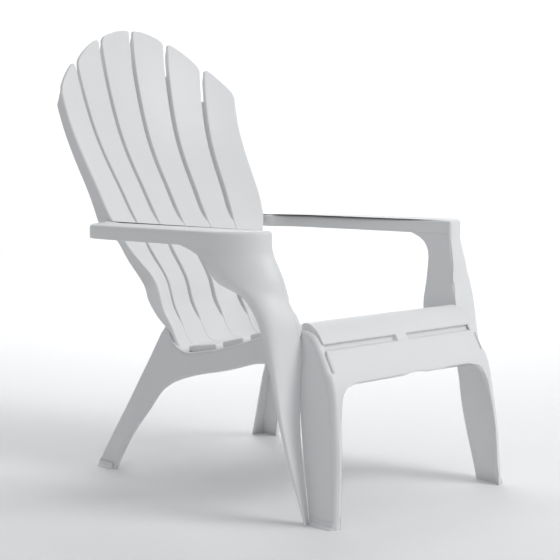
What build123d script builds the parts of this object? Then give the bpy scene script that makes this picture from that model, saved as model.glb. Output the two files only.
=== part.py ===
"""Stacking resin garden chair in the Adirondack style, in millimetres.

The chair is one injection moulding. It is modelled as the members that the moulding is made of,
each a solid of its own that meets its neighbours face to face. The sitter faces -Y and +Z is up.
The origin is on the floor, at the centre of the footprint.
"""
from math import cos, hypot, radians, sin
import os

from build123d import *

# Walls
wall = 3.8
flange_wall = 3.4

# Back: a sheet swept round an upright axis in front of it, with a leaning face line (y, z)
back_height = 951.0
hollow_axis_y = -190.0
hollow_half_angle = 62.0
deepest_band = 100.0
lean_low = ((88, 240), (99, 272), (122, 312), (145, 345), (163, 393), (187, 427), (212, 458), (240, 495))
lean_above_waist = ((0, 0), (39, 58), (76, 115), (112, 184), (140, 265), (158, 336), (168, 424), (170, 660))
waist_face_y = 267.0
waist_top = 527.0
waist_bottom = 464.0
slat_pitch = 69.5
slat_count = 6
groove_width = 9.0
groove_depth = 14.0
fan_spread = 0.0605
side_spread = 0.0946
edge_half_width = 222.0
notch_drops = (0.0, 26.0, 83.0, 144.0)
slat_corner_radius = 11.0
open_slot_length = 130.0
skirt_depth = 25.0
skirt_foot = ((50, 318), (85, 350), (118, 384), (165, 437), (203, 477), (246, 527))

# Seat: crosswise slats between two rims, seen from the side as (y, z)
seat_half_width = 210.0
pan_height = 272.0
slat_skirt = 14.0
seat_slats = {"rear": ((-98, 295), (-15, 283)), "second": ((-176, 315), (-116, 301)),
              "third": ((-255, 337), (-195, 322)), "fourth": ((-320, 352), (-273, 341))}
front_slat_line = ((-337, 355), (-349, 358), (-366, 352), (-380, 340), (-392, 322), (-398, 306))
rim_line = ((-398, 306), (-386, 324), (-375, 337), (-352, 346), (-234, 322), (-186, 307), (-107, 286),
            (-55, 276), (-20, 272), (16, 285), (42, 318))
rear_apron_depth = 42.0

# Side sheets: upright beside the seat, leaning outwards from the hip down to the floor
hip_height = 320.0
foot_half_width = 243.0
apron_height = 306.0
leg_split_y = -376.0
side_underside = ((-376, 266), (-246, 273), (-156, 251.5), (-67, 232), (11, 209), (56, 184))

# Rear legs, seen from the side
rear_leg_back = ((42, 318), (123, 196), (219, 54), (254, 0))
rear_leg_front = ((56, 184), (89, 148), (148, 82), (200, 0))
rear_leg_inner_top = 211.0
rear_leg_inner_foot = 206.0
small_flange = 10.0

# Front legs, seen from the side, and their outer flanges and the posts, seen from above
front_leg_line = ((-398, 306), (-424, 255), (-436, 192), (-445, 120), (-453.2, 0))
front_foot_depth = 50.0
front_knee_height = 266.0
post_foot_height = 353.0
post_sections = {
    458: ((243, -313), (276, -313), (304, -298), (324, -276), (333, -256), (335, -236)),
    415: ((234, -327), (262, -327), (284, -319), (300, -309), (307, -302), (310, -295)),
}
post_foot_section = ((222, -347), (250, -347), (272, -338), (288, -331), (296, -326), (300, -322))
flange_offsets = {
    320: (-368, (28, 0), (48, 6), (61, 12), (70, 17), (76, 22)),
    190: (-387, (15, 0), (30, 9), (41, 16), (51, 22), (59, 28)),
    0: (-404.5, (5, 0), (9, 1.5), (13, 4), (16, 6.5), (19, 9)),
}

# Front apron, seen from the front
apron_corner = ((160, 253), (197, 240), (216, 205), (222, 140))

# Arms, seen from above
arm_height = 525.0
arm_plate = 4.5
arm_skirt = 27.5
arm_front_line = ((250, -300), (282, -296), (310, -280), (332, -255), (343, -228), (343, -172))
arm_tail_line = ((343, 112), (337, 158), (315, 195), (280, 224))
arm_inner_line = ((250, 138), (240, 176), (222, 206))
arm_root_back_y = 246.0

# Feet
lip_height = 10.0
lip_width = 8.0


def moved_path(path, depth):
    """An open path moved sideways by a depth, to the right of its direction."""
    moved = []
    for index, (across, up) in enumerate(path):
        before = path[max(index - 1, 0)]
        after = path[min(index + 1, len(path) - 1)]
        length = hypot(after[0] - before[0], after[1] - before[1])
        shift = depth / length
        moved.append((across + shift * (after[1] - before[1]), up - shift * (after[0] - before[0])))
    return moved


def strip(path, depth):
    """The closed outline between an open path and the same path moved sideways."""
    return [*path, *reversed(moved_path(path, depth))]


def export(piece, label):
    """Name a finished piece and write it."""
    piece.part.label = label
    export_step(piece.part, f"parts/{label}.step")


def export_pair(piece, label):
    """Write a piece made for the sitter's left (+X) and its mirror image on the right."""
    export(piece, f"{label}_left")
    with BuildPart() as twin:
        mirror(piece.part, about=Plane.YZ)
    export(twin, f"{label}_right")


def block_side(outline, reach=back_height):
    """A side-view outline (y, z) drawn right through the chair."""
    with BuildPart() as block:
        with BuildSketch(Plane.YZ):
            with BuildLine():
                Polyline(*outline, close=True)
            make_face()
        extrude(amount=reach, both=True)
    return block.part


def block_front(outline, reach=back_height):
    """A front-view outline (x, z) drawn right through the chair."""
    with BuildPart() as block:
        with BuildSketch(Plane.XZ):
            with BuildLine():
                Polyline(*outline, close=True)
            make_face()
        extrude(amount=reach, both=True)
    return block.part


def face_line():
    """The leaning face of the back on the centre line, from below the seat to above the top."""
    rise = (back_height - waist_top) / lean_above_waist[-2][1]
    above = [(waist_face_y + run, waist_top + up * rise) for run, up in lean_above_waist]
    return [*lean_low, *above]


def back_band(front, rear):
    """The hollow back from one depth behind its face to another."""
    turn = radians(hollow_half_angle)
    start = Plane(origin=(0, hollow_axis_y, 0), x_dir=(sin(turn), cos(turn), 0),
                  z_dir=(cos(turn), -sin(turn), 0))
    near = [(y - hollow_axis_y, z) for y, z in moved_path(face_line(), front)]
    far = [(y - hollow_axis_y, z) for y, z in moved_path(face_line(), rear)]
    with BuildPart() as band:
        with BuildSketch(start):
            with BuildLine():
                front_curve = Spline(*near)
                rear_curve = Spline(*far)
                Line(front_curve @ 0, rear_curve @ 0)
                Line(front_curve @ 1, rear_curve @ 1)
            make_face()
        revolve(axis=Axis((0, hollow_axis_y, 0), (0, 0, 1)), revolution_arc=2 * hollow_half_angle)
    return band.part


def slat_line(index, height):
    """Where the groove of an index, from -2 to 2, or an outer edge (-3 and 3) is at a height."""
    climb = max(height - waist_top, 0.0)
    if abs(index) == slat_count // 2:
        side = 1 if index > 0 else -1
        return side * (edge_half_width + side_spread * climb)
    return index * (slat_pitch + fan_spread * climb)


def notch_height(index):
    """The height of the top of the back at a groove or at an outer edge."""
    return back_height - notch_drops[abs(index)]


def slat_sides(index, foot, top_left, top_right, inset):
    """The corners of one slat, narrowed by an inset on both sides."""
    left, right = index - slat_count // 2, index - slat_count // 2 + 1
    left_gap = groove_width / 2 if left > -slat_count // 2 else flange_wall
    right_gap = groove_width / 2 if right < slat_count // 2 else flange_wall
    return [(slat_line(left, foot) + left_gap + inset, foot),
            (slat_line(right, foot) - right_gap - inset, foot),
            (slat_line(right, top_right) - right_gap - inset, top_right),
            (slat_line(left, top_left) + left_gap + inset, top_left)]


def upper_slat(index, board, flange):
    """One board of the fan, with flanges behind its sides and its sloping top."""
    left, right = index - slat_count // 2, index - slat_count // 2 + 1
    outline = slat_sides(index, waist_top, notch_height(left), notch_height(right), 0)
    hollow = slat_sides(index, waist_top, notch_height(left) - flange_wall,
                        notch_height(right) - flange_wall, flange_wall)
    middle = block_front(hollow)
    with BuildPart() as slat:
        with BuildSketch(Plane.XZ):
            with BuildLine():
                Polyline(*outline, close=True)
            make_face()
            fillet(vertices().sort_by(Axis.Y)[-2:], slat_corner_radius)
        extrude(amount=back_height, both=True)
        add(flange, mode=Mode.INTERSECT)
        add(middle, mode=Mode.SUBTRACT)
        add(middle.intersect(board))
    return slat


def lower_slat(index, board, flange):
    """One board of the lumbar part, from the seat pan to the waist, with side flanges."""
    outline = slat_sides(index, pan_height, waist_bottom, waist_bottom, 0)
    hollow = slat_sides(index, pan_height, waist_bottom, waist_bottom, flange_wall)
    edge = seat_half_width
    outline = [(max(-edge, min(edge, x)), z) for x, z in outline]
    hollow = [(max(flange_wall - edge, min(edge - flange_wall, x)), z) for x, z in hollow]
    middle = block_front(hollow)
    with BuildPart() as slat:
        add(block_front(outline))
        add(flange, mode=Mode.INTERSECT)
        add(middle, mode=Mode.SUBTRACT)
        add(middle.intersect(board))
    return slat


def groove_webs(web, foot, tops):
    """The recessed floors of the five grooves between the boards."""
    with BuildPart() as webs:
        for index, top in tops.items():
            half = groove_width / 2
            outline = [(slat_line(index, foot) - half, foot), (slat_line(index, foot) + half, foot),
                       (slat_line(index, top) + half, top), (slat_line(index, top) - half, top)]
            add(block_front(outline).intersect(web))
    return webs


def waist_band(board):
    """The plain band across the back at arm height, where the grooves stop."""
    side = edge_half_width - flange_wall
    with BuildPart() as band:
        add(block_front([(-side, waist_bottom), (side, waist_bottom), (side, waist_top),
                         (-side, waist_top)]))
        add(board, mode=Mode.INTERSECT)
    return band


def upper_side(flange):
    """The return along the outer edge of the fan, from the waist to the shoulder."""
    top = notch_height(slat_count // 2)
    foot_x, top_x = slat_line(3, waist_top), slat_line(3, top)
    with BuildPart() as side:
        add(block_front([(foot_x - flange_wall, waist_top), (foot_x, waist_top), (top_x, top),
                         (top_x - flange_wall, top)]))
        add(flange, mode=Mode.INTERSECT)
    return side


def lower_side(board, behind):
    """The edge of the back from the seat rim to the waist, with its deep return."""
    inner = edge_half_width - flange_wall
    side_foot = rim_line[-1][1]
    in_front = rim_line[0][0]
    rear = [(in_front, side_foot), *skirt_foot, (in_front, waist_top)]
    with BuildPart() as side:
        add(block_front([(inner, side_foot), (edge_half_width, side_foot),
                         (edge_half_width, waist_top), (inner, waist_top)]))
        add(behind, mode=Mode.INTERSECT)
        add(block_side(rear), mode=Mode.INTERSECT)
        edge = block_front([(seat_half_width, side_foot), (inner, side_foot),
                            (inner, waist_bottom), (seat_half_width, waist_bottom)])
        add(edge.intersect(board))
    return side


def seat_slat(front, rear):
    """One raised crosswise board of the seat with a return all round its underside."""
    outline = [front, rear, (rear[0], rear[1] - slat_skirt), (front[0], front[1] - slat_skirt)]
    hollow = [(front[0] + flange_wall, front[1] - wall), (rear[0] - flange_wall, rear[1] - wall),
              (rear[0] - flange_wall, rear[1] - slat_skirt - 1),
              (front[0] + flange_wall, front[1] - slat_skirt - 1)]
    with BuildPart() as slat:
        add(block_side(outline, seat_half_width))
        add(block_side(hollow, seat_half_width - flange_wall), mode=Mode.SUBTRACT)
    return slat


def between(low, high):
    """Everything between two heights."""
    reach = back_height
    return block_front([(-reach, low), (reach, low), (reach, high), (-reach, high)])


def front_slat():
    """The front board of the seat, rolled down over its edge to the front apron."""
    start_y, start_z = front_slat_line[0]
    back_wall = [(start_y, start_z - wall / 2), (start_y, start_z - slat_skirt),
                 (start_y - flange_wall, start_z - slat_skirt), (start_y - flange_wall, start_z - wall / 2)]
    with BuildPart() as slat:
        add(block_side(strip([*front_slat_line, *front_leg_line[1:]], -wall), seat_half_width))
        add(between(apron_height, back_height), mode=Mode.INTERSECT)
        add(block_side(back_wall, seat_half_width))
    return slat


def front_apron():
    """The board under the front of the seat, which curves down into both front legs."""
    foot = apron_corner[-1][1]
    half = [*apron_corner, (sheet_x(foot, wall), foot), (sheet_x(apron_height, wall), apron_height)]
    outline = [*half, *[(-x, z) for x, z in reversed(half)]]
    with BuildPart() as apron:
        add(block_side(strip([*front_slat_line[-2:], *front_leg_line[1:]], -wall)))
        add(block_front(outline), mode=Mode.INTERSECT)
    return apron


def seat_pan(face_radius):
    """The floor behind the rear slat, with a round rear edge under the feet of the back."""
    front_y = seat_slats["rear"][1][0]
    with BuildPart() as pan:
        with BuildSketch(Plane.XY.offset(pan_height - wall)):
            with Locations((0, hollow_axis_y)):
                Circle(face_radius + wall)
            with Locations((0, front_y)):
                Rectangle(2 * seat_half_width, seat_half_width, align=(Align.CENTER, Align.MIN),
                          mode=Mode.INTERSECT)
        extrude(amount=wall)
    return pan


def rear_apron(face_radius):
    """The round skirt that stiffens the seat under its rear edge."""
    with BuildPart() as apron:
        with BuildSketch(Plane.XY.offset(pan_height - rear_apron_depth)):
            with Locations((0, hollow_axis_y)):
                Circle(face_radius + wall)
                Circle(face_radius, mode=Mode.SUBTRACT)
            with Locations((0, seat_slats["rear"][1][0])):
                Rectangle(2 * seat_half_width, seat_half_width, align=(Align.CENTER, Align.MIN),
                          mode=Mode.INTERSECT)
        extrude(amount=rear_apron_depth - wall)
    return apron


def sheet_x(height, depth=0.0):
    """Half the width over the side sheets at a height, less a depth."""
    lean = (foot_half_width - edge_half_width) / hip_height
    return edge_half_width + lean * max(hip_height - height, 0.0) - depth


def sheet(thickness):
    """The left side sheet over the chair's whole length, from the floor to above the seat."""
    return block_front([(sheet_x(0), 0), (sheet_x(hip_height), hip_height),
                        (sheet_x(hip_height), back_height), (sheet_x(hip_height, thickness), back_height),
                        (sheet_x(hip_height, thickness), hip_height), (sheet_x(0, thickness), 0)])


def seat_side():
    """The rim that carries the ends of the seat boards, with the side apron under its edge."""
    past_end = (2 * rim_line[-1][0] - rim_line[-2][0], 2 * rim_line[-1][1] - rim_line[-2][1])
    rim = strip([*reversed(front_leg_line[1:3]), *rim_line, past_end], wall)
    under = [*side_underside, *reversed(rim_line), (leg_split_y, apron_height)]
    low, top = side_underside[-1][1], rim_line[-1][1]
    kept = [(-back_height, apron_height), (leg_split_y, apron_height), (leg_split_y, low),
            side_underside[-1], rim_line[-1], (0, top), (0, back_height), (-back_height, back_height)]
    with BuildPart() as side:
        with BuildSketch(Plane.YZ.offset(seat_half_width)):
            with BuildLine():
                Polyline(*rim, close=True)
            make_face()
        extrude(amount=edge_half_width - seat_half_width)
        add(block_side(under).intersect(sheet(wall)))
        add(block_side(kept), mode=Mode.INTERSECT)
    return side


def rear_leg():
    """A channel: the side sheet with a deep return behind and a shallow one in front."""
    outline = [*rear_leg_back, *reversed(rear_leg_front)]
    deep = block_front([(rear_leg_inner_top, hip_height), (sheet_x(hip_height, wall / 2), hip_height),
                        (sheet_x(0, wall / 2), 0), (rear_leg_inner_foot, 0)])
    shallow = block_front([(sheet_x(hip_height, wall + small_flange), hip_height),
                           (sheet_x(hip_height, wall / 2), hip_height), (sheet_x(0, wall / 2), 0),
                           (sheet_x(0, wall + small_flange), 0)])
    with BuildPart() as leg:
        add(block_side(outline).intersect(sheet(wall)))
        add(block_side(strip(rear_leg_back, -wall)).intersect(deep))
        add(block_side(strip(rear_leg_front, wall)).intersect(shallow))
        add(block_side(outline), mode=Mode.INTERSECT)
        add(between(0, hip_height), mode=Mode.INTERSECT)
    return leg


def front_leg():
    """The side sheet below the seat's front corner, with the return that faces forward."""
    foot_y = front_leg_line[-1][0] + front_foot_depth
    outline = [*front_leg_line, (foot_y, 0), (leg_split_y, front_knee_height), (leg_split_y, apron_height)]
    top = apron_corner[-1][1]
    front_return = block_front([(sheet_x(top, wall + small_flange), top), (sheet_x(top, wall / 2), top),
                                (sheet_x(0, wall / 2), 0), (sheet_x(0, wall + small_flange), 0)])
    with BuildPart() as leg:
        add(block_side(outline).intersect(sheet(wall)))
        add(block_side(strip(front_leg_line, -wall)).intersect(front_return))
        add(block_side(outline), mode=Mode.INTERSECT)
    return leg


def wall_between(sections):
    """A wall that runs through level sections, given as its outer line at each height."""
    with BuildPart() as piece:
        for pair in zip(sections, sections[1:]):
            for height, line in pair:
                with BuildSketch(Plane.XY.offset(height)):
                    with BuildLine():
                        Polyline(*strip(line, -wall), close=True)
                    make_face()
            loft(ruled=True)
    return piece


def flange_section(height):
    """The outer line of the front leg's flange at a height, from the side sheet outwards."""
    start_y, *offsets = flange_offsets[height]
    start_x = sheet_x(height)
    return [(start_x, start_y), *[(start_x + out, start_y + back) for out, back in offsets]]


def arm():
    """The arm board with its returns, which wraps round the back at its rear end."""
    outline = [*arm_front_line, *arm_tail_line, (edge_half_width, arm_root_back_y),
               *reversed(arm_inner_line)]
    foot = arm_height - arm_plate - arm_skirt
    inner_return = [arm_front_line[0], *arm_inner_line]
    with BuildPart() as piece:
        with BuildSketch(Plane.XY.offset(arm_height - arm_plate)):
            with BuildLine():
                Polyline(*outline, close=True)
            make_face()
        extrude(amount=arm_plate)
        for line, depth in (([*arm_front_line, *arm_tail_line], -wall), (inner_return, wall)):
            with BuildSketch(Plane.XY.offset(foot)):
                with BuildLine():
                    Polyline(*strip(line, depth), close=True)
                make_face()
            extrude(amount=arm_height - arm_plate / 2 - foot)
    return piece


def foot_lip(front_y, rear_y):
    """The outward lip moulded round the bottom of a foot."""
    outline = [(sheet_x(0), 0), (sheet_x(0) + lip_width, 0), (sheet_x(0) + lip_width - 1, lip_height),
               (sheet_x(lip_height), lip_height)]
    with BuildPart() as lip:
        add(block_front(outline))
        add(block_side([(front_y, 0), (rear_y, 0), (rear_y, lip_height), (front_y, lip_height)]),
            mode=Mode.INTERSECT)
    return lip


os.makedirs("parts", exist_ok=True)

board_band = back_band(0, wall)
flange_band = back_band(0, groove_depth + wall)
web_band = back_band(groove_depth, groove_depth + wall)
pan_radius = dict((z, y) for y, z in lean_low)[pan_height] - hollow_axis_y

for slat_index in range(slat_count):
    export(upper_slat(slat_index, board_band, flange_band), f"fan_slat_{slat_index + 1}")
    export(lower_slat(slat_index, board_band, flange_band), f"lumbar_slat_{slat_index + 1}")

groove_lines = range(1 - slat_count // 2, slat_count // 2)
slot_feet = {line: notch_height(line) - open_slot_length for line in groove_lines}
export(groove_webs(web_band, waist_top, slot_feet), "fan_groove_webs")
lumbar_tops = {line: waist_bottom for line in groove_lines}
export(groove_webs(web_band, pan_height, lumbar_tops), "lumbar_groove_webs")
export(waist_band(board_band), "waist_band")
export_pair(upper_side(back_band(0, skirt_depth)), "fan_side_return")
export_pair(lower_side(board_band, back_band(0, deepest_band)), "lumbar_side_return")

for slat_name, (front_edge, rear_edge) in seat_slats.items():
    export(seat_slat(front_edge, rear_edge), f"seat_slat_{slat_name}")
export(front_slat(), "seat_slat_front")
export(seat_pan(pan_radius), "seat_pan")
export(rear_apron(pan_radius), "rear_apron")
export(front_apron(), "front_apron")

export_pair(seat_side(), "seat_side")
export_pair(rear_leg(), "rear_leg")
export_pair(front_leg(), "front_leg")
arm_underside = arm_height - arm_plate - arm_skirt
post_top = [(arm_underside, arm_front_line), *post_sections.items(), (post_foot_height, post_foot_section)]
export_pair(wall_between(post_top), "arm_post")
flange_lines = [(height, flange_section(height)) for height in flange_offsets]
export_pair(wall_between([(post_foot_height, post_foot_section), *flange_lines]), "front_leg_flange")
export_pair(arm(), "arm")
front_foot = front_leg_line[-1][0]
export_pair(foot_lip(front_foot, front_foot + front_foot_depth - wall), "front_foot_lip")
export_pair(foot_lip(rear_leg_front[-1][0], rear_leg_back[-1][0]), "rear_foot_lip")
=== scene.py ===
import math

import bmesh
import bpy
import numpy as np
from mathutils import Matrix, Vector


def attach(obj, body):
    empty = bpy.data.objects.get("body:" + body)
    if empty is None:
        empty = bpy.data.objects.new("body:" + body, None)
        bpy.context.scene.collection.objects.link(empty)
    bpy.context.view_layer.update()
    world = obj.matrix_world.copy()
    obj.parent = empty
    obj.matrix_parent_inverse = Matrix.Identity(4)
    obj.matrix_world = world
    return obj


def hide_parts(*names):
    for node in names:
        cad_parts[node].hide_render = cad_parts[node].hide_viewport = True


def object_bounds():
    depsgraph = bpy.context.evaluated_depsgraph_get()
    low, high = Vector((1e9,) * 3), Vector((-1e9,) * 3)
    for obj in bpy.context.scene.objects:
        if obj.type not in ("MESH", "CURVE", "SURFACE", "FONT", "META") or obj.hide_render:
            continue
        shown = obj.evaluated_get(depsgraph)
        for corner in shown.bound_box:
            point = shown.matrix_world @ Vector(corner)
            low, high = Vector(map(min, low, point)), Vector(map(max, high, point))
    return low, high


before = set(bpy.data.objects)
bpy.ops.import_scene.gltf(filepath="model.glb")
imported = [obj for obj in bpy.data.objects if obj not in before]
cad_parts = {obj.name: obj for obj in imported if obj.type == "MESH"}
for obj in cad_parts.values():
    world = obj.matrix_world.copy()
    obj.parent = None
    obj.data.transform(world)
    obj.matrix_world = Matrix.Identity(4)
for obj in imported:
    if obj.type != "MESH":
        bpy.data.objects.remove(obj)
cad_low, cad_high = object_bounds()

# ---- Back ---------------------------------------------------------------------------------------
# Six boards that fan out above a plain waist and run down into a hollowed lumbar part, in white
# polypropylene. The whole chair is one moulding, so the back has no fixings: each board is a tray
# whose returns are the walls of the grooves, and a floor of the same sheet lies between two trays.


def smooth_line(stations, values):
    """A natural cubic curve through values at rising stations, as a function of the station."""
    at, value = np.array(stations, float), np.array(values, float)
    step = np.diff(at)
    count = len(at)
    system, load = np.eye(count), np.zeros(count)
    for i in range(1, count - 1):
        system[i, i - 1:i + 2] = step[i - 1], 2 * (step[i - 1] + step[i]), step[i]
        load[i] = 6 * ((value[i + 1] - value[i]) / step[i] - (value[i] - value[i - 1]) / step[i - 1])
    bend = np.linalg.solve(system, load)

    def along(station):
        i = int(np.clip(np.searchsorted(at, station) - 1, 0, count - 2))
        right, left, h = station - at[i], at[i + 1] - station, step[i]
        return (bend[i] * left ** 3 + bend[i + 1] * right ** 3) / (6 * h) \
            + (value[i] / h - bend[i] * h / 6) * left + (value[i + 1] / h - bend[i + 1] * h / 6) * right

    return along


def steady_line(stations, values):
    """A smooth curve through values that never swings past them, as a function of the station."""
    at, value = np.array(stations, float), np.array(values, float)
    step, rise = np.diff(at), np.diff(value) / np.diff(at)
    slope = np.concatenate(([rise[0]], np.zeros(len(at) - 2), [rise[-1]]))
    for i in range(1, len(at) - 1):
        if rise[i - 1] * rise[i] > 0:
            before, after = 2 * step[i] + step[i - 1], step[i] + 2 * step[i - 1]
            slope[i] = (before + after) / (before / rise[i - 1] + after / rise[i])

    def along(station):
        i = int(np.clip(np.searchsorted(at, station) - 1, 0, len(at) - 2))
        t = min(max((station - at[i]) / step[i], 0.0), 1.0)
        return value[i] * (1 + 2 * t) * (1 - t) ** 2 + value[i + 1] * t * t * (3 - 2 * t) \
            + step[i] * (slope[i] * t * (1 - t) ** 2 - slope[i + 1] * t * t * (1 - t))

    return along


# Sizes are in millimetres and heights are from the floor. A station is the height of a point on
# the face of the back, except at the foot, where the face turns forward into the seat.
wall = 3.8
waist = 527.0
top_height = 951.0
hollow_half = 215.0
face_stations = (222, 236, 244, 258, 272, 286, 300, 318, 345, 393, 427, 458, 495, 530, 585, 642, 711, 792,
                 863, 951, 1010)
face_y = smooth_line(face_stations, (46, 60, 68, 82, 95, 105.5, 115, 126, 145, 164, 187, 212, 239, 269,
                                     306, 343, 379, 407, 425, 436, 437))
face_z = smooth_line(face_stations, (271, 271, 271, 272.5, 277, 287, 300, 318, *face_stations[8:]))
hollow = smooth_line((222, 236, 258, 286, 318, 345, 390, 418, 445, 473, 500, 527, 613, 675, 740, 800, 951,
                      1010), (70, 74, 85, 94, 96, 94, 93, 88, 71, 55, 48, 46, 48, 46, 42, 41, 42, 42))
groove_pitch = 69.5
fan_spread = 0.0605
side_spread = 0.0946
waist_half = 222.0
notch_drop = (0.0, 26.0, 83.0, 144.0)
board_corner = 11.0
crown = 5.5
open_slot = 64.0
side_lean = 0.0656
hip = 320.0
foot_station = 222.0
width_station = 700.0
edge_round, outer_round = 3.0, 4.5
side_margin = 11.5
slot_return = 3.3
wall_start, wall_fade = 0.3, 22.0
pan_front = 22.0
apron_top = 262.0
rim_tuck_in = 11.0

# Seen from above the chair is a wedge: full width across the arms and the front of the seat, and
# drawn in at the hips, where the lumbar boards and the seat run together.
hip_narrowing = 46.0
full_width_y, hip_y = -350.0, 42.0
narrow_top = 560.0
# How far back and down a point goes for each millimetre in. Both change a little over the chair.
back_drift, down_drift, drift_reach = 1.23, 0.397, 1655.0
narrow_height = steady_line((0, 300, 350, 393, 427, 458, 495, 527, narrow_top),
                            (0, 1, 1, 1, 0.92, 0.7, 0.38, 0.1, 0))


def drawn_in(x, y, z, spread=1.0):
    """A point moved in towards the middle, with the backward and downward drift that goes with it."""
    along = min(max((y - full_width_y) / (hip_y - full_width_y), 0.0), 1.0)
    narrow = hip_narrowing * along * narrow_height(min(z, narrow_top)) * spread
    return (x * (1 - narrow / waist_half), y + narrow * (back_drift + y / drift_reach),
            z - narrow * (down_drift - z / drift_reach))


def climb(height, blend=14.0):
    """Height above the waist, with a soft start."""
    return blend * math.log1p(math.exp(min((height - waist) / blend, 60.0)))


def sheet_edge(height):
    """Half the width over the side sheets, which lean outwards to the floor."""
    return waist_half + side_lean * (hip - height)


rim_tuck = steady_line((222, 305, 350, 1010), (0, 0, 1, 1))


def board_line(index, height):
    """Where a groove (-2 to 2) or an outer edge (-3, 3) of the back is at a height."""
    if abs(index) == 3:
        tuck = rim_tuck_in * (1 - rim_tuck(height))
        return math.copysign(waist_half + side_spread * climb(height) - tuck, index)
    return index * (groove_pitch + fan_spread * climb(height))


def back_point(x, station, depth):
    """A point a depth behind the face of the back."""
    small = 0.5
    share = (x / hollow_half) ** 2

    def face(at):
        return Vector((x, face_y(at) - hollow(at) * share, face_z(at)))

    up = (face(station + small) - face(station - small)) / (2 * small)
    across = Vector((1.0, -2 * hollow(station) * x / hollow_half ** 2, 0.0))
    forward = across.cross(up).normalized()
    return drawn_in(*(face(station) - forward * depth), spread=(x / waist_half) ** 2)


def step_between(value, start, end):
    """A smooth rise from 0 at start to 1 at end."""
    share = min(max((value - start) / (end - start), 0.0), 1.0)
    return share * share * (3 - 2 * share)


# How deep the grooves are, half their width and how deep the outer returns are, at each station.
groove_depth = steady_line((222, 290, 312, 326, 345, 452, 470, 490, 512, 526, 540, 560, 1010),
                           (1.0, 1.0, 1.4, 9, 14, 14, 10, 1.4, 1.4, 8, 13, 14, 14))
groove_half = steady_line((222, 290, 312, 330, 350, 450, 472, 490, 512, 530, 545, 600, 1010),
                          (1.2, 1.2, 1.6, 3.6, 4.5, 4.5, 3.4, 1.6, 1.6, 3.6, 4.5, 4.6, 4.8))
side_return = steady_line((222, 300, 318, 345, 384, 418, 452, 487, 500, 518, 530, 565, 620, 807, 1010),
                          (6, 8, 12, 20, 31, 27.5, 21, 15, 16, 26, 33, 28, 25, 21, 21))

low_stations = [*np.linspace(foot_station, 300, 14), *np.linspace(306, waist, 46)]
fan_rows, slot_rows, roll_rows = 34, 13, 5


def board_stations(top):
    """The stations up one column of a board that ends at a height."""
    slot = top - open_slot
    fan = list(np.linspace(waist, slot, fan_rows)[1:])
    roll = [top - edge_round * (1 - math.cos(a)) for a in np.linspace(math.pi / 2, 0, roll_rows)]
    return [*low_stations, *fan, *np.linspace(slot, roll[0], slot_rows)[1:-1], *roll]


def board_column(index, inset, from_right):
    """A column of points of one board, a distance in from its side, with the depth of each."""
    left, right = index - 3, index - 2
    notch_left, notch_right = (top_height - notch_drop[abs(line)] for line in (left, right))
    width = board_line(right, width_station) - board_line(left, width_station)
    share = (width - inset) / width if from_right else inset / width
    side_gap = min(inset, board_corner)
    top = notch_left + (notch_right - notch_left) * share + 4 * crown * share * (1 - share)
    top -= board_corner - math.sqrt(board_corner ** 2 - (board_corner - side_gap) ** 2)
    outer = (index == 5) if from_right else (index == 0)
    column = []
    for station in board_stations(top):
        x_left = board_line(left, station) + (0 if index == 0 else groove_half(station))
        x_right = board_line(right, station) - (0 if index == 5 else groove_half(station))
        radius = outer_round if outer else min(edge_round, 0.8 * groove_depth(station))
        start = inset * (radius / edge_round) if inset < edge_round else inset
        if inset > side_margin:
            clear = x_right - x_left - 2 * side_margin
            start = side_margin + (inset - side_margin) * clear / (width - 2 * side_margin)
        x = x_right - start if from_right else x_left + start
        in_side = max(radius - start, 0.0)
        in_top = max(edge_round - (top - station), 0.0)
        round_off = radius - math.sqrt(max(radius ** 2 - in_side ** 2, 0.0))
        round_top = edge_round - math.sqrt(max(edge_round ** 2 - in_top ** 2, 0.0))
        column.append((x, station, max(round_off, round_top)))
    return column


class Field:
    """A shader socket that takes part in Python expressions."""

    tree = None

    def __init__(self, socket):
        self.socket = socket

    @classmethod
    def node(cls, kind, settings=(), **inputs):
        """A node of a type, with its settings first and then its sockets by name."""
        made = cls.tree.nodes.new(kind)
        for name, value in dict(settings).items():
            setattr(made, name, value)
        for name, value in inputs.items():
            socket = made.inputs[int(name[1:])] if name[1:].isdigit() else made.inputs[name.replace("_", " ")]
            if isinstance(value, Field):
                cls.tree.links.new(value.socket, socket)
            else:
                socket.default_value = value
        return made

    def math(self, operation, other):
        return Field(Field.node("ShaderNodeMath", {"operation": operation}, _0=self, _1=other).outputs[0])

    def __add__(self, other):
        return self.math("ADD", other)

    def __mul__(self, other):
        return self.math("MULTIPLY", other)

    def __sub__(self, other):
        return self.math("SUBTRACT", other)

    def __rsub__(self, other):
        return Field(Field.node("ShaderNodeMath", {"operation": "SUBTRACT"}, _0=other, _1=self).outputs[0])

    __radd__ = __add__
    __rmul__ = __mul__


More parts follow.
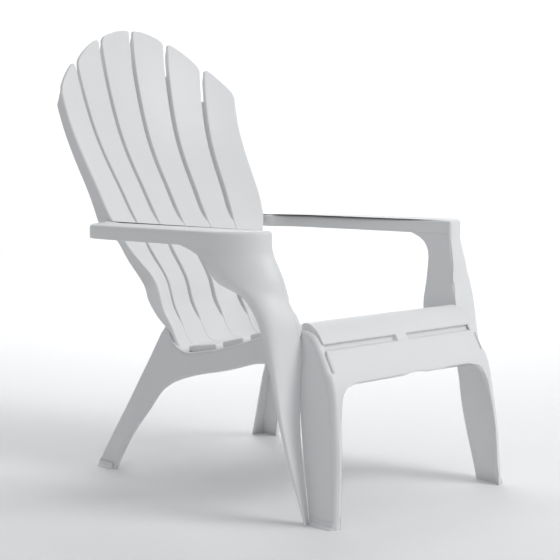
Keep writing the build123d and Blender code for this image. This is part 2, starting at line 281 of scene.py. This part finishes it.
def resin(name, tint, gloss, grain_depth):
    """Moulded white polypropylene with its grain, flow marks and polished spots."""
    material = bpy.data.materials.new(name)
    material.use_nodes = True
    Field.tree = material.node_tree
    shader = Field.tree.nodes["Principled BSDF"]
    place = Field(Field.node("ShaderNodeTexCoord").outputs["Object"])
    grain = Field(Field.node("ShaderNodeTexNoise", Vector=place, Scale=1500.0, Detail=2.0).outputs[0])
    flow = Field(Field.node("ShaderNodeTexNoise", Vector=place, Scale=5.0, Detail=3.0,
                            Distortion=0.6).outputs[0])
    handling = Field(Field.node("ShaderNodeTexNoise", Vector=place, Scale=17.0, Detail=4.0).outputs[0])
    specks = Field(Field.node("ShaderNodeTexVoronoi", Vector=place, Scale=420.0).outputs[0])
    shade = Field.node("ShaderNodeMix", {"data_type": "RGBA"}, Factor=flow * 0.8 + handling * 0.2,
                       _6=tuple(channel * 0.965 for channel in tint) + (1.0,), _7=tint + (1.0,))
    Field.tree.links.new(shade.outputs[2], shader.inputs["Base Color"])
    sheen = gloss + (handling - 0.5) * 0.16 + (grain - 0.5) * 0.08
    Field.tree.links.new(sheen.socket, shader.inputs["Roughness"])
    height = grain * 0.7 + specks * 0.3
    bump = Field.node("ShaderNodeBump", Height=height, Strength=grain_depth, Distance=0.0002)
    Field.tree.links.new(bump.outputs[0], shader.inputs["Normal"])
    shader.inputs["IOR"].default_value = 1.49
    shader.inputs["Specular IOR Level"].default_value = 0.45
    return material


# Coloured right through and moulded against lightly etched steel: a fine even grain, faint flow
# marks, and a satin sheen that handling has polished in places.
shell_resin = resin("white_resin", (0.83, 0.835, 0.84), 0.44, 0.25)


class Sheet:
    """A thin moulded sheet, gathered face by face in millimetres."""

    def __init__(self):
        self.vertices = []
        self.faces = []
        self.side = 1

    def add(self, points, loops):
        """Faces over new points, mirrored to the sitter's right when side is -1."""
        start = len(self.vertices)
        self.vertices.extend((self.side * x, y, z) for x, y, z in points)
        self.faces.extend(tuple(start + i for i in loop)[::self.side] for loop in loops)

    def grid(self, rows, flip=False):
        """Rows of points joined by quads, facing the way that along-row x up-the-rows points."""
        width = len(rows[0])
        corners = [r * width + c for r in range(len(rows) - 1) for c in range(width - 1)]
        loops = [(a, a + 1, a + 1 + width, a + width) for a in corners]
        self.add([p for row in rows for p in row], [loop[::-1] for loop in loops] if flip else loops)

    def plate(self, outline):
        """One flat face with a given outline."""
        self.add(outline, [tuple(range(len(outline)))])

    def draw_in(self):
        """Every point moved in, back and down where the chair narrows towards the hips."""
        self.vertices = [drawn_in(*point) for point in self.vertices]

    def piece(self, name, nodes, thickness, soft_edge=0.0, crease=35.0, lip=0.8):
        """The sheet as a finished piece of the chair, with its wall thickness inwards."""
        mesh = bpy.data.meshes.new(name)
        mesh.from_pydata([(x / 1000, y / 1000, z / 1000) for x, y, z in self.vertices], [], self.faces)
        work = bmesh.new()
        work.from_mesh(mesh)
        bmesh.ops.remove_doubles(work, verts=work.verts, dist=0.00002)
        bmesh.ops.dissolve_degenerate(work, edges=work.edges, dist=0.00001)
        work.to_mesh(mesh)
        work.free()
        made = bpy.data.objects.new(name, mesh)
        bpy.context.collection.objects.link(made)
        if soft_edge:
            rounding = made.modifiers.new("rounding", "BEVEL")
            rounding.width = soft_edge / 1000
            rounding.segments = 4
            rounding.limit_method = "ANGLE"
            rounding.angle_limit = math.radians(crease)
            rounding.use_clamp_overlap = False
        skin = made.modifiers.new("wall", "SOLIDIFY")
        skin.thickness = thickness / 1000
        skin.offset = -1.0
        if lip:
            rim = made.modifiers.new("rim", "BEVEL")
            rim.width = lip / 1000
            rim.segments = 2
            rim.limit_method = "ANGLE"
            rim.angle_limit = math.radians(60)
            rim.use_clamp_overlap = False
        finish(made, nodes)


def settle(made):
    """The object's evaluated shape as its own plain mesh, with no modifiers left."""
    graph = bpy.context.evaluated_depsgraph_get()
    mesh = bpy.data.meshes.new_from_object(made.evaluated_get(graph))
    made.modifiers.clear()
    made.data = mesh


sharp_edge = math.radians(48)


def finish(made, nodes):
    """Resin skin, clean shading, no point past the frame's box, and the piece's place in the frame."""
    settle(made)
    made.data.materials.clear()
    made.data.materials.append(shell_resin)
    work = bmesh.new()
    work.from_mesh(made.data)
    for edge in work.edges:
        edge.smooth = edge.calc_face_angle(0.0) < sharp_edge
    for face in work.faces:
        face.smooth = True
    for vertex in work.verts:
        vertex.co = [min(max(c, a), b) for c, a, b in zip(vertex.co, cad_low, cad_high)]
    work.to_mesh(made.data)
    work.free()
    weights = made.modifiers.new("shading", "WEIGHTED_NORMAL")
    weights.keep_sharp = True
    weights.weight = 80
    settle(made)
    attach(made, "root")
    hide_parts(*nodes)


roll_insets = [edge_round * (1 - math.cos(a)) for a in np.linspace(0, math.pi / 2, 5)]
insets = [*roll_insets, 5.5, 8.0, side_margin]
back = Sheet()
walls = {}
for index in range(6):
    columns = [board_column(index, inset, False) for inset in insets]
    clear = board_line(index - 2, width_station) - board_line(index - 3, width_station) - 2 * side_margin
    middle = [board_column(index, side_margin + clear * share, False)
              for share in np.linspace(0, 1, 8)[1:-1]]
    columns += middle + [board_column(index, inset, True) for inset in reversed(insets)]
    face_rows = [[back_point(*column[row]) for column in columns] for row in range(len(columns[0]))]
    back.grid(face_rows)
    for side, column in ((0, columns[0]), (1, columns[-1])):
        outer = (index, side) in ((0, 0), (5, 1))
        deep = []
        for x, station, depth in column:
            reach = side_return(station) if outer else max(groove_depth(station), depth)
            full = step_between(column[-1][1] - station, 0, wall_fade)
            reach = depth + (reach - depth) * (wall_start + (1 - wall_start) * full)
            deep.append([depth + (reach - depth) * share for share in np.linspace(0, 1, 4)])
        rows = [[back_point(x, station, d) for d in levels] for (x, station, _), levels in zip(column, deep)]
        back.grid(rows, flip=side == 0)
        walls[index, side] = rows
    first, last = walls[index, 0][-1], walls[index, 1][-1]
    top_rows = [face_rows[-1]]
    for level in range(1, 4):
        ends = [column[-1] for column in columns]
        row = [back_point(x, station, depth + slot_return * level / 3) for x, station, depth in ends]
        row[0], row[-1] = first[level], last[level]
        top_rows.append(row)
    back.grid(top_rows)
floor_rows = len(low_stations) + fan_rows - 1
for index in range(5):
    left_rows, right_rows = walls[index, 1], walls[index + 1, 0]
    rows = []
    for row in range(floor_rows):
        a, b = Vector(left_rows[row][-1]), Vector(right_rows[row][-1])
        rows.append([tuple(a.lerp(b, share)) for share in (0, 0.5, 1)])
    back.grid(rows)
pan_rows, apron_rows = [], []
pan_half = board_line(3, foot_station)
for x in np.linspace(-pan_half, pan_half, 41):
    rear = back_point(x, foot_station, 0.0)
    pan_rows.append([(rear[0], pan_front + (rear[1] - pan_front) * share, rear[2])
                     for share in np.linspace(0, 1, 5)])
    start = back_point(x, apron_top, 0.5)
    apron_rows.append([(start[0], start[1], start[2] - drop) for drop in (0, 6, 15, 28, 40)])
back.grid([list(row) for row in zip(*pan_rows)])
back.piece("back_moulding", ["fan_groove_webs", "lumbar_groove_webs", "waist_band", "seat_pan",
                             *[f"fan_slat_{i + 1}" for i in range(6)],
                             *[f"lumbar_slat_{i + 1}" for i in range(6)],
                             "fan_side_return_left", "fan_side_return_right",
                             "lumbar_side_return_left", "lumbar_side_return_right"], wall, lip=0)

hip_apron = Sheet()
hip_apron.grid([list(row) for row in zip(*apron_rows)])
hip_apron.piece("rear_apron_skirt", ["rear_apron"], wall)


# ---- Seat boards --------------------------------------------------------------------------------
# Four open-bottomed trays that bridge the seat from rim to rim, with drain slots between them. On the
# real chair they are drawn up from the same sheet of resin, so their ends run straight into the rim.

board_half = 210.0
board_wall = 3.6
board_skirt = 15.0
board_lines = (((-98, 295), (-15, 283)), ((-176, 315), (-116, 301)), ((-255, 337), (-195, 322)),
               ((-320, 352), (-273, 341)))


def tray_nodes():
    """Geometry nodes that set one open-bottomed tray on every point of a mesh."""
    tree = bpy.data.node_groups.new("seat_trays", "GeometryNodeTree")
    sockets = tree.interface
    sockets.new_socket("Geometry", in_out="OUTPUT", socket_type="NodeSocketGeometry")
    sockets.new_socket("Centres", in_out="INPUT", socket_type="NodeSocketGeometry")
    sockets.new_socket("Width", in_out="INPUT", socket_type="NodeSocketFloat")
    sockets.new_socket("Skirt", in_out="INPUT", socket_type="NodeSocketFloat")
    sockets.new_socket("Resin", in_out="INPUT", socket_type="NodeSocketMaterial")
    Field.tree = tree
    given, result = tree.nodes.new("NodeGroupInput"), tree.nodes.new("NodeGroupOutput")
    sizes = {name: Field(given.outputs[name]) for name in ("Centres", "Width", "Skirt", "Resin")}
    depth = Field(Field.node("GeometryNodeInputNamedAttribute", {"data_type": "FLOAT"},
                             Name="depth").outputs["Attribute"])
    tilt = Field(Field.node("GeometryNodeInputNamedAttribute", {"data_type": "FLOAT"},
                            Name="tilt").outputs["Attribute"])
    block = Field(Field.node("GeometryNodeMeshCube", Size=(1.0, 1.0, 1.0)).outputs["Mesh"])
    facing = Field(Field.node("GeometryNodeInputNormal").outputs[0])
    height = Field(Field.node("ShaderNodeSeparateXYZ", _0=facing).outputs[2])
    under = Field(Field.node("FunctionNodeCompare", {"operation": "LESS_THAN"}, _0=height,
                             _1=-0.5).outputs[0])
    opened = Field(Field.node("GeometryNodeDeleteGeometry", {"domain": "FACE"}, Geometry=block,
                              Selection=under).outputs[0])
    lowered = Field(Field.node("GeometryNodeTransform", Geometry=opened,
                               Translation=(0.0, 0.0, -0.5)).outputs[0])
    points = Field(Field.node("GeometryNodeMeshToPoints", _0=sizes["Centres"]).outputs[0])
    turn = Field(Field.node("ShaderNodeCombineXYZ", X=tilt).outputs[0])
    spread = Field(Field.node("ShaderNodeCombineXYZ", X=sizes["Width"], Y=depth,
                              Z=sizes["Skirt"]).outputs[0])
    placed = Field(Field.node("GeometryNodeInstanceOnPoints", Points=points, Instance=lowered,
                              Rotation=turn, Scale=spread).outputs[0])
    real = Field(Field.node("GeometryNodeRealizeInstances", Geometry=placed).outputs[0])
    painted = Field.node("GeometryNodeSetMaterial", Geometry=real, Material=sizes["Resin"])
    tree.links.new(painted.outputs[0], result.inputs[0])
    return tree


centres = bpy.data.meshes.new("seat_boards")
centres.from_pydata([(0, (a[0] + b[0]) / 2000, (a[1] + b[1]) / 2000) for a, b in board_lines], [], [])
for attribute, reading in (("depth", lambda a, b: math.dist(a, b) / 1000),
                           ("tilt", lambda a, b: math.atan2(b[1] - a[1], b[0] - a[0]))):
    centres.attributes.new(attribute, "FLOAT", "POINT").data.foreach_set(
        "value", [reading(a, b) for a, b in board_lines])
boards = bpy.data.objects.new("seat_boards", centres)
bpy.context.collection.objects.link(boards)
trays = boards.modifiers.new("trays", "NODES")
trays.node_group = tray_nodes()
chosen = {"Width": 2 * board_half / 1000, "Skirt": board_skirt / 1000, "Resin": shell_resin}
for item in trays.node_group.interface.items_tree:
    if item.name in chosen:
        trays[item.identifier] = chosen[item.name]
settle(boards)
seat = Sheet()
seat.add([tuple(1000 * c for c in v.co) for v in boards.data.vertices],
         [tuple(face.vertices) for face in boards.data.polygons])
bpy.data.objects.remove(boards)
seat.draw_in()
seat.piece("seat_boards", ["seat_slat_rear", "seat_slat_second", "seat_slat_third", "seat_slat_fourth"],
           board_wall, soft_edge=4.5)

# ---- Front board --------------------------------------------------------------------------------
# The board under the sitter's knees. It is part of the same moulding, and rolls down in front into a
# narrow recess, bridged in the middle, and a small lip that runs along the top of the apron.

front_roll = ((-337, 341), (-337, 353.5), (-338.5, 356), (-342, 357.6), (-349, 358), (-358, 356.2),
              (-366, 352), (-373.5, 346.6), (-380, 340), (-386, 331.8), (-390, 325.6), (-390.6, 323))
front_recess = ((-388, 321), (-383.5, 320.5), (-385, 315.5), (-387, 311.5), (-393, 310.5))
front_lip = ((-397.5, 311.5), (-400.6, 309.5), (-402.9, 303))
front_foot = ((-392, 303), (-381, 320), (-372, 331), (-352, 340), (-338, 338))

front = Sheet()
bridge_half, bridge_end = 13.5, 17.5
half = [0, 8, 13, 14.2, 15.4, 16.6, 18, 24, *np.linspace(40, 196, 14), 202, 206, 208.2, 209.4, board_half]
span = [-x for x in half[:0:-1]] + half
bridge = [step_between(abs(x), bridge_half, bridge_end) for x in span]
rows = []
for p in front_roll:
    rows.append([(x, *p) for x in span])
edge, lip_start = Vector(front_roll[-1]), Vector(front_lip[0])
for i, p in enumerate(front_recess):
    flush = edge.lerp(lip_start, (i + 1) / (len(front_recess) + 1))
    rows.append([(x, *flush.lerp(Vector(p), b)) for x, b in zip(span, bridge)])
for p in front_lip:
    rows.append([(x, *p) for x in span])
front.grid(rows[::-1])
for sign in (1, -1):
    front.side = sign
    front.plate([row[-1] for row in rows] + [(board_half, y, z) for y, z in front_foot])
front.piece("front_board", ["seat_slat_front"], board_wall)

# ---- Apron, side sheets and legs ----------------------------------------------------------------
# The apron runs unbroken round both front corners into the side sheets, which carry on as the front
# and rear legs, all in the one resin moulding. A narrow rim follows each side from the knee to the hip.


def sampled(points, count):
    """Evenly spread points on a smooth curve through 2-D points."""
    points = np.array(points, float)
    reach = np.concatenate(([0], np.cumsum(np.linalg.norm(np.diff(points, axis=0), axis=1))))
    lines = [smooth_line(reach, points[:, axis]) for axis in range(2)]
    return [tuple(line(s) for line in lines) for s in np.linspace(0, reach[-1], count)]


leg_front = smooth_line((0, 120, 192, 255, 306), (-453.2, -445, -436, -424, -398))
apron_raise = 4.0
knee_round = 9.5
knee_sharpening = 5.5
rim_inside = 206.0
rim_line = ((-398, 306), (-386, 324), (-375, 337), (-352, 346), (-234, 322), (-186, 307), (-107, 286),
            (-55, 276), (-20, 272), (16, 285), (42, 318))
underside = ((-344, 262), (-246, 273), (-156, 251.5), (-67, 232), (11, 209), (56, 184), (89, 148), (148, 82),
             (200, 0))
rear_back = ((123, 196), (219, 54), (254, 0))
leg_crease = ((-388, 0), (-370, 95), (-353, 190), (-344, 262))
arch_top, knee_top = 253, 306
tab_low, tab_high = 268, 277.5
apron_inner = steady_line((0, 60, 140, 180, 205, 222, 236, 247, 250, arch_top),
                          (229, 224.5, 219.5, 215, 211, 206, 198, 184, 170, 0))
knee_heights = (0, 20, 45, 70, 95, 120, 140, 160, 180, 194, 205, 214, 222, 229, 236, 242, 247, 250, arch_top,
                258, 264, 269, 273, 274.5, 276, 277.5, 282, 288, 294, 300)
knee_path = [(leg_front(z), z) for z in knee_heights]
flat_reach = 211.6
flat_columns = (0, 30, 60, 90, 115, 135, 150, 162, 172, 181, 189, 196, 202, 206, 208.6, 210, flat_reach)
under_return, heel_gain, leg_top = 11, 5, 318
rim_path = sampled(rim_line[:4], 12)[:-1] + sampled(rim_line[3:], 50)
side_path = knee_path + rim_path


def panel_raise(z):
    """How far the face of the apron and the legs stands out from the rim's own line."""
    return apron_raise * step_between(z, 20, 140)


def rounded_edge(path):
    """Rows across the rounded edge along a path up the side, from flat in front to flat beside."""
    rows = []
    for i, (y, z) in enumerate(path):
        ahead, behind = path[min(i + 1, len(path) - 1)], path[max(i - 1, 0)]
        run = Vector((ahead[0] - behind[0], ahead[1] - behind[1])).normalized()
        radius = knee_round - knee_sharpening * step_between(y, -370, -310)
        edge = sheet_edge(z)
        lift = panel_raise(z) * (1 - step_between(z, tab_low, tab_high))
        rows.append([(edge - radius * (1 - math.sin(turn)),
                      y + run[1] * radius * (1 - math.cos(turn)) - lift * math.cos(turn),
                      z - run[0] * radius * (1 - math.cos(turn)))
                     for turn in np.linspace(0, math.pi / 2, 6)])
    return rows


sides = Sheet()
for sign in (1, -1):
    sides.side = sign
    rounding = rounded_edge(side_path)
    rows, lower = [], []
    for (y, z), corner in zip(knee_path, rounding):
        inner = apron_inner(z) if z < arch_top else 0.0
        outer = max(flat_reach, inner + 0.5)
        at = [inner + (outer - inner) * x / flat_reach for x in flat_columns]
        row = []
        for x in at:
            beside = step_between(x, 208.8, 211.2) * step_between(z, tab_low, tab_high)
            row.append((x, y - panel_raise(z) * (1 - beside), z))
        rows.append(row + corner)
        if z <= arch_top:
            lower.append(row[0])
    rim_start = rim_path[0]
    flat = rows[-1][:len(flat_columns)]
    rows.append([(x, y + rim_start[0] - knee_path[-1][0], knee_top) for x, y, z in flat]
                + rounding[len(knee_path)])
    sides.grid(rows)
    turned = [[(x, y + depth * (0.5 + 0.5 * step_between(z, 150, 230)), z) for x, y, z in lower]
              for depth in (0, 5, under_return)]
    sides.grid(turned)
    rim_rows = [[(rim_inside, y, z), ((rim_inside + corner[0][0]) / 2, y, z), *corner]
                for (y, z), corner in zip(rim_path, rounding[len(knee_path):])]
    sides.grid(rim_rows)
    border = [(corner[-1][1], corner[-1][2]) for corner in rounding]
    crease_points = sampled(leg_crease, 14)
    back_points = sampled((border[-1], *rear_back), 22)
    under_points = sampled(underside, 52)
    edge_path = [*border[::-1], *crease_points[:-1], *under_points, *back_points[:0:-1]]
    sides.plate([(sheet_edge(z), y, z) for y, z in edge_path])
    for line, depth in ((under_points, under_return), (back_points, None)):
        rows = []
        for y, z in line:
            edge = sheet_edge(z)
            reach = depth or edge - rim_inside - heel_gain * z / leg_top
            rows.append([(edge - reach * share, y, z) for share in (0, 0.5, 1)])
        sides.grid(rows)
sides.draw_in()
sides.piece("apron_and_sides", ["front_apron", "seat_side_left", "seat_side_right", "front_leg_left",
                                "front_leg_right", "rear_leg_left", "rear_leg_right"],
            board_wall, soft_edge=3.5)

# Each foot spreads into a small lip round its outer edge. It is moulded with the leg, in the same
# resin, and stiffens the end of the thin wall.
toe_reach, toe_overlap = 7.6, 0.3
toe_profile = ((0.0, 12.0), (0.02, 8.0), (0.12, 5.0), (0.4, 2.6), (0.75, 1.7), (0.96, 1.4), (1.0, 0.9),
               (1.0, 0))
toe_wall = 2.0
toes = Sheet()
for sign in (1, -1):
    toes.side = sign
    for start, end in ((-449, -392), (204, 251)):
        rows = []
        for u in np.linspace(-1, 1, 25):
            reach = toe_reach * max(1 - abs(u) ** 6, 0.0) ** 0.5
            along = (start + end) / 2 + u * (end - start) / 2
            rows.append([(sheet_edge(z) - toe_overlap + reach * out, along, z) for out, z in toe_profile])
        toes.grid(rows, flip=True)
toes.piece("foot_lips", ["front_foot_lip_left", "front_foot_lip_right", "rear_foot_lip_left",
                         "rear_foot_lip_right"], toe_wall, lip=0)

# ---- Arms and posts -----------------------------------------------------------------------------
# Each arm is a flat resin tray with a deep turned-down edge, moulded with the back and the legs. In
# front that edge sweeps into the post, a folded panel that narrows into the flange of the front leg.

arm_top, arm_under = 525.0, 497.5
arm_nose = [(min(x, 343.0), y) for x, y in sampled(((250, -306), (282, -301), (311, -283), (332, -256),
                                                    (343, -228), (343, -180), (343, -150)), 31)]
arm_tail = [*((343.0, y) for y in np.linspace(-130, 80, 12)),
            *sampled(((343, 92), (339, 128), (325, 156), (298, 180), (266, 199), (243, 219), (228, 240)), 20),
            (224, 246), (221, 206), *sampled(((226, 195), (240, 170), (248, 148), (250, 132)), 10),
            *((250.0, y) for y in np.linspace(120, -286, 21))]
post_heights = (0, 190, 353, 412, 442, 468, 491)
post_sections = (
    ((243, -388), (248, -390), (254, -393), (258, -395.5), (260.5, -397), (262, -394)),
    ((230.5, -353), (250, -356), (268, -361), (280, -364), (287, -364), (290, -357)),
    ((222, -346), (250, -347), (275, -344), (288, -340), (296, -333), (300, -322)),
    ((234, -327), (262, -327), (286, -323), (300, -316), (309, -306), (313, -292)),
    ((239, -322), (270, -321), (298, -309), (318, -290), (331, -268), (335.5, -241)),
    ((244.5, -314), (277, -311), (306, -294), (327, -269), (338.5, -248), (342, -226)),
    ((249, -307), (281, -302), (311, -283), (331.5, -256), (342, -230), (343, -196)))
wall_foot, blend_in = 322, 7
wall_back = steady_line((320, 387, 422, 444, 464, 480, 490, 497.5),
                        (-259, -257, -256, -255, -249, -236, -220, -200))
arms = Sheet()
for sign in (1, -1):
    arms.side = sign
    ring = arm_nose + arm_tail
    arms.plate([(x, y, arm_top) for x, y in ring])
    arms.grid([[(x, y, z) for x, y in ring + ring[:1]] for z in np.linspace(arm_under, arm_top, 4)])
    curves = []
    for section in post_sections:
        section = np.array(section, float)
        reach = np.concatenate(([0], np.cumsum(np.linalg.norm(np.diff(section, axis=0), axis=1))))
        lines = [smooth_line(reach / reach[-1], section[:, axis]) for axis in range(2)]
        curves.append([[line(s) for line in lines] for s in np.linspace(0, 1, len(arm_nose))])
    curves.append([[x, y] for x, y in arm_nose])
    curves = np.array(curves)
    columns = []
    for c in range(len(arm_nose)):
        lines = [steady_line((*post_heights, arm_under + blend_in), curves[:, c, axis]) for axis in range(2)]
        columns.append([(*(line(s) for line in lines), s * arm_under / (arm_under + blend_in))
                        for s in np.linspace(0, arm_under + blend_in, 60)])
    rows = [list(row) for row in zip(*columns)]
    arms.grid(rows)
    inside = [row[0] for row in rows if row[0][2] > wall_foot]
    arms.grid([[(x, y + (wall_back(z) - y) * share, z) for share in np.linspace(0, 1, 6)]
               for x, y, z in inside], flip=True)
arms.piece("arms_and_posts", ["arm_left", "arm_right", "arm_post_left", "arm_post_right",
                              "front_leg_flange_left", "front_leg_flange_right"],
           board_wall, soft_edge=6.5, crease=55.0)

# ---- Stage and camera ---------------------------------------------------------------------------
# A plain pale sweep of card, soft light from the front and above with one lamp on the card behind,
# and a long lens a little above the height of the arms.

view_turn = math.radians(-43.07)
profile = [(-9.0, 0.0), (2.2, 0.0), *((2.2 + 1.5 * math.sin(a), 1.5 - 1.5 * math.cos(a))
                                     for a in np.linspace(0.1, math.pi / 2, 14)), (3.7, 6.0)]
sweep = bpy.data.meshes.new("sweep")
across, away = math.cos(view_turn), math.sin(view_turn)
sweep.from_pydata([(x * across - y * away, x * away + y * across, z)
                   for y, z in profile for x in (-9.0, 9.0)], [],
                  [(2 * i, 2 * i + 1, 2 * i + 3, 2 * i + 2) for i in range(len(profile) - 1)])
card = bpy.data.objects.new("sweep", sweep)
bpy.context.collection.objects.link(card)
for face in sweep.polygons:
    face.use_smooth = True
paper = bpy.data.materials.new("card")
paper.use_nodes = True
Field.tree = paper.node_tree
plain = Field.tree.nodes["Principled BSDF"]
place = Field(Field.node("ShaderNodeTexCoord").outputs["Object"])
fibre = Field(Field.node("ShaderNodeTexNoise", Vector=place, Scale=60.0, Detail=3.0).outputs[0])
tone = Field.node("ShaderNodeMix", {"data_type": "RGBA"}, Factor=fibre, _6=(0.88, 0.88, 0.88, 1),
                  _7=(0.9, 0.9, 0.9, 1))
Field.tree.links.new(tone.outputs[2], plain.inputs["Base Color"])
plain.inputs["Roughness"].default_value = 0.9
sweep.materials.append(paper)

world = bpy.data.worlds.new("studio")
bpy.context.scene.world = world
world.use_nodes = True
world.node_tree.nodes["Background"].inputs[0].default_value = (0.95, 0.97, 1.0, 1.0)
world.node_tree.nodes["Background"].inputs[1].default_value = 0.4


def lamp(name, place, target, size, power):
    """A soft box aimed at a point."""
    light = bpy.data.lights.new(name, "AREA")
    light.shape = "DISK"
    light.size = size
    light.energy = power
    made = bpy.data.objects.new(name, light)
    made.location = place
    made.rotation_euler = (Vector(target) - Vector(place)).to_track_quat("-Z", "Y").to_euler()
    bpy.context.collection.objects.link(made)


lamp("key", (1.6, -3.4, 3.0), (0, 0, 0.4), 2.2, 80)
lamp("backdrop", (1.4, 1.6, 3.4), (3.0, 3.4, 0.6), 2.0, 70)
lamp("top", (-0.4, -0.6, 4.2), (0, 0, 0.3), 3.0, 16)
lens = bpy.data.cameras.new("camera")
lens.sensor_width = 36.0
lens.lens = 84.71
lens.shift_x = 0.0225
lens.shift_y = 0.0321429
eye = bpy.data.objects.new("camera", lens)
eye.location = (-1.8775, -2.031, 0.6566)
eye.rotation_euler = (math.radians(90 - 6.09), math.radians(0.29), view_turn)
bpy.context.collection.objects.link(eye)
bpy.context.scene.camera = eye
bpy.context.scene.view_settings.view_transform = "Standard"
